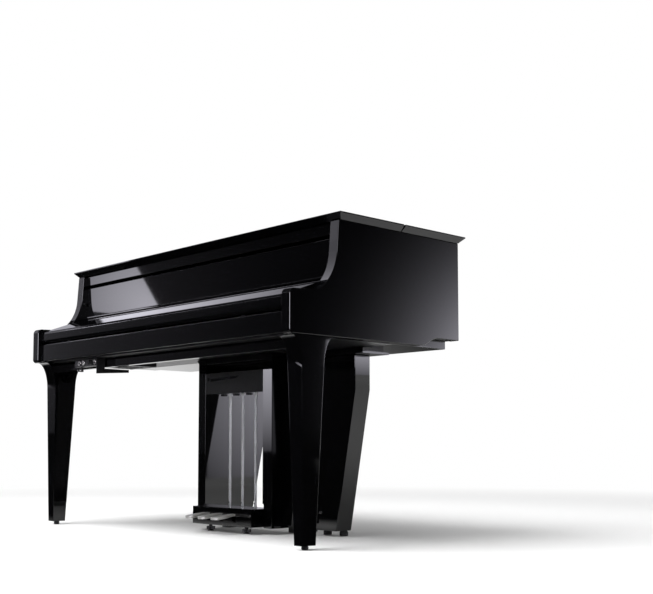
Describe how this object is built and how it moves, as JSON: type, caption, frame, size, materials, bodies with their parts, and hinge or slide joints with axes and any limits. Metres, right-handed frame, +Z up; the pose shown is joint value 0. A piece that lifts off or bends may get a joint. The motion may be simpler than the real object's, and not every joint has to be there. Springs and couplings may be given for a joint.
{
  "type": "hybrid piano",
  "caption": "Black polished hybrid piano: short grand-style case on three legs, folding lid, closing fallboard, full keyboard and a pedal lyre with three pedals.",
  "frame": {"origin": "on the floor, under the middle of the bounding box", "axes": "+Z up, +X towards the treble end, the player sits on the -Y side"},
  "size_m": [1.496, 0.742, 0.9695],
  "materials": {
    "black_polish": "black polyester lacquer polished to a mirror",
    "satin_black": "satin black",
    "polished_metal": "polished",
    "black_rubber": "moulded",
    "spruce": "planed, unfinished",
    "white_key": "ivory-like moulded top, fine grain",
    "black_key": "ebony-like moulded top"
  },
  "bodies": {
    "case": {"side_panel_left": "black_polish", "side_panel_right": "black_polish", "bottom_board": "black_polish", "keyslip": "black_polish", "front_rail": "black_polish", "cheek_block_left": "black_polish", "cheek_block_right": "black_polish", "name_board": "black_polish", "lower_front_panel": "black_polish", "upper_front_panel": "black_polish", "lid_rear_leaf": "black_polish", "front_leg_left": "black_polish", "front_leg_right": "black_polish", "rear_leg": "black_polish", "rear_leg_plate": "black_polish", "lyre_board_left": "black_polish", "lyre_board_right": "black_polish", "lyre_top_box": "black_polish", "pedal_box": "black_polish", "keybed": "satin_black", "back_panel": "satin_black", "touch_display": "satin_black", "jack_box": "satin_black", "headphone_hook": "satin_black", "electronics_box": "satin_black", "lid_hinge": "polished_metal", "lyre_rod_left": "polished_metal", "lyre_rod_middle": "polished_metal", "lyre_rod_right": "polished_metal", "glide_front_left": "black_rubber", "glide_front_right": "black_rubber", "glide_rear_left": "black_rubber", "glide_rear_right": "black_rubber", "key_frame": "spruce", "action_rack": "spruce", "speaker_box": "spruce"},
    "white_key_1": {"white_key_1": "white_key"},
    "white_key_2": {"white_key_2": "white_key"},
    "white_key_3": {"white_key_3": "white_key"},
    "white_key_4": {"white_key_4": "white_key"},
    "white_key_5": {"white_key_5": "white_key"},
    "white_key_6": {"white_key_6": "white_key"},
    "white_key_7": {"white_key_7": "white_key"},
    "black_key_1": {"black_key_1": "black_key"},
    "black_key_3": {"black_key_3": "black_key"},
    "black_key_4": {"black_key_4": "black_key"},
    "black_key_6": {"black_key_6": "black_key"},
    "black_key_7": {"black_key_7": "black_key"},
    "white_key_bank": {"white_key_bank": "white_key"},
    "black_key_bank": {"black_key_bank": "black_key"},
    "fallboard": {"fallboard": "black_polish"},
    "lid_front_leaf": {"lid_front_leaf": "black_polish"},
    "music_desk": {"music_desk": "black_polish"},
    "power_button": {"power_button": "satin_black"},
    "volume_knob": {"volume_knob": "satin_black"},
    "pedal_soft": {"pedal_soft": "polished_metal"},
    "pedal_sostenuto": {"pedal_sostenuto": "polished_metal"},
    "pedal_damper": {"pedal_damper": "polished_metal"},
    "lyre_adjuster_left": {"lyre_adjuster_left": "satin_black"},
    "lyre_adjuster_right": {"lyre_adjuster_right": "satin_black"}
  },
  "joints": [
    {"name": "white_key_1_press", "type": "hinge", "parent": "case", "child": "white_key_1", "pos_m": [0, -0.085, 0.666], "axis": [1, 0, 0], "range_deg": [0, 2.5], "stiffness_Nm_per_rad": 1.2, "springref_deg": -4.58},
    {"name": "white_key_2_press", "type": "hinge", "parent": "case", "child": "white_key_2", "pos_m": [0, -0.085, 0.666], "axis": [1, 0, 0], "range_deg": [0, 2.5], "stiffness_Nm_per_rad": 1.2, "springref_deg": -4.58},
    {"name": "white_key_3_press", "type": "hinge", "parent": "case", "child": "white_key_3", "pos_m": [0, -0.085, 0.666], "axis": [1, 0, 0], "range_deg": [0, 2.5], "stiffness_Nm_per_rad": 1.2, "springref_deg": -4.58},
    {"name": "white_key_4_press", "type": "hinge", "parent": "case", "child": "white_key_4", "pos_m": [0, -0.085, 0.666], "axis": [1, 0, 0], "range_deg": [0, 2.5], "stiffness_Nm_per_rad": 1.2, "springref_deg": -4.58},
    {"name": "white_key_5_press", "type": "hinge", "parent": "case", "child": "white_key_5", "pos_m": [0, -0.085, 0.666], "axis": [1, 0, 0], "range_deg": [0, 2.5], "stiffness_Nm_per_rad": 1.2, "springref_deg": -4.58},
    {"name": "white_key_6_press", "type": "hinge", "parent": "case", "child": "white_key_6", "pos_m": [0, -0.085, 0.666], "axis": [1, 0, 0], "range_deg": [0, 2.5], "stiffness_Nm_per_rad": 1.2, "springref_deg": -4.58},
    {"name": "white_key_7_press", "type": "hinge", "parent": "case", "child": "white_key_7", "pos_m": [0, -0.085, 0.666], "axis": [1, 0, 0], "range_deg": [0, 2.5], "stiffness_Nm_per_rad": 1.2, "springref_deg": -4.58},
    {"name": "black_key_1_press", "type": "hinge", "parent": "case", "child": "black_key_1", "pos_m": [0, -0.085, 0.666], "axis": [1, 0, 0], "range_deg": [0, 2.5], "stiffness_Nm_per_rad": 1.2, "springref_deg": -4.58},
    {"name": "black_key_3_press", "type": "hinge", "parent": "case", "child": "black_key_3", "pos_m": [0, -0.085, 0.666], "axis": [1, 0, 0], "range_deg": [0, 2.5], "stiffness_Nm_per_rad": 1.2, "springref_deg": -4.58},
    {"name": "black_key_4_press", "type": "hinge", "parent": "case", "child": "black_key_4", "pos_m": [0, -0.085, 0.666], "axis": [1, 0, 0], "range_deg": [0, 2.5], "stiffness_Nm_per_rad": 1.2, "springref_deg": -4.58},
    {"name": "black_key_6_press", "type": "hinge", "parent": "case", "child": "black_key_6", "pos_m": [0, -0.085, 0.666], "axis": [1, 0, 0], "range_deg": [0, 2.5], "stiffness_Nm_per_rad": 1.2, "springref_deg": -4.58},
    {"name": "black_key_7_press", "type": "hinge", "parent": "case", "child": "black_key_7", "pos_m": [0, -0.085, 0.666], "axis": [1, 0, 0], "range_deg": [0, 2.5], "stiffness_Nm_per_rad": 1.2, "springref_deg": -4.58},
    {"name": "white_key_bank_press", "type": "hinge", "parent": "case", "child": "white_key_bank", "pos_m": [0, -0.085, 0.666], "axis": [1, 0, 0], "range_deg": [0, 2.5], "stiffness_Nm_per_rad": 60, "springref_deg": -4.58},
    {"name": "black_key_bank_press", "type": "hinge", "parent": "case", "child": "black_key_bank", "pos_m": [0, -0.085, 0.666], "axis": [1, 0, 0], "range_deg": [0, 2.5], "stiffness_Nm_per_rad": 40, "springref_deg": -4.58},
    {"name": "fallboard_open", "type": "hinge", "parent": "case", "child": "fallboard", "pos_m": [0, -0.1945, 0.7645], "axis": [-1, 0, 0], "range_deg": [0, 107]},
    {"name": "lid_open", "type": "hinge", "parent": "case", "child": "lid_front_leaf", "pos_m": [0, 0.082, 0.967], "axis": [-1, 0, 0], "range_deg": [0, 175]},
    {"name": "desk_raise", "type": "hinge", "parent": "case", "child": "music_desk", "pos_m": [0, -0.133, 0.9233], "axis": [1, 0, 0], "range_deg": [0, 70]},
    {"name": "power_press", "type": "slide", "parent": "case", "child": "power_button", "axis": [0, 0, -1], "range_m": [0, 0.002], "stiffness_N_per_m": 400, "springref_m": -0.001},
    {"name": "volume_turn", "type": "hinge", "parent": "case", "child": "volume_knob", "pos_m": [0.67, -0.287, 0.7], "axis": [0, 0, -1], "range_deg": [0, 300]},
    {"name": "pedal_soft_press", "type": "hinge", "parent": "case", "child": "pedal_soft", "pos_m": [-0.0235, -0.019, 0.0585], "axis": [1, 0, 0], "range_deg": [0, 8], "stiffness_Nm_per_rad": 8, "springref_deg": -8.59},
    {"name": "pedal_sostenuto_press", "type": "hinge", "parent": "case", "child": "pedal_sostenuto", "pos_m": [0.0465, -0.019, 0.0585], "axis": [1, 0, 0], "range_deg": [0, 8], "stiffness_Nm_per_rad": 8, "springref_deg": -8.59},
    {"name": "pedal_damper_press", "type": "hinge", "parent": "case", "child": "pedal_damper", "pos_m": [0.1165, -0.019, 0.0585], "axis": [1, 0, 0], "range_deg": [0, 8], "stiffness_Nm_per_rad": 8, "springref_deg": -8.59},
    {"name": "adjuster_left_turn", "type": "hinge", "parent": "case", "child": "lyre_adjuster_left", "pos_m": [-0.0515, -0.045, 0.008], "axis": [0, 0, 1], "continuous": true},
    {"name": "adjuster_right_turn", "type": "hinge", "parent": "case", "child": "lyre_adjuster_right", "pos_m": [0.1445, -0.045, 0.008], "axis": [0, 0, 1], "continuous": true}
  ],
  "couplings": [
    {"joint": "desk_raise", "follows": "lid_open", "ratio": 0.4}
  ]
}
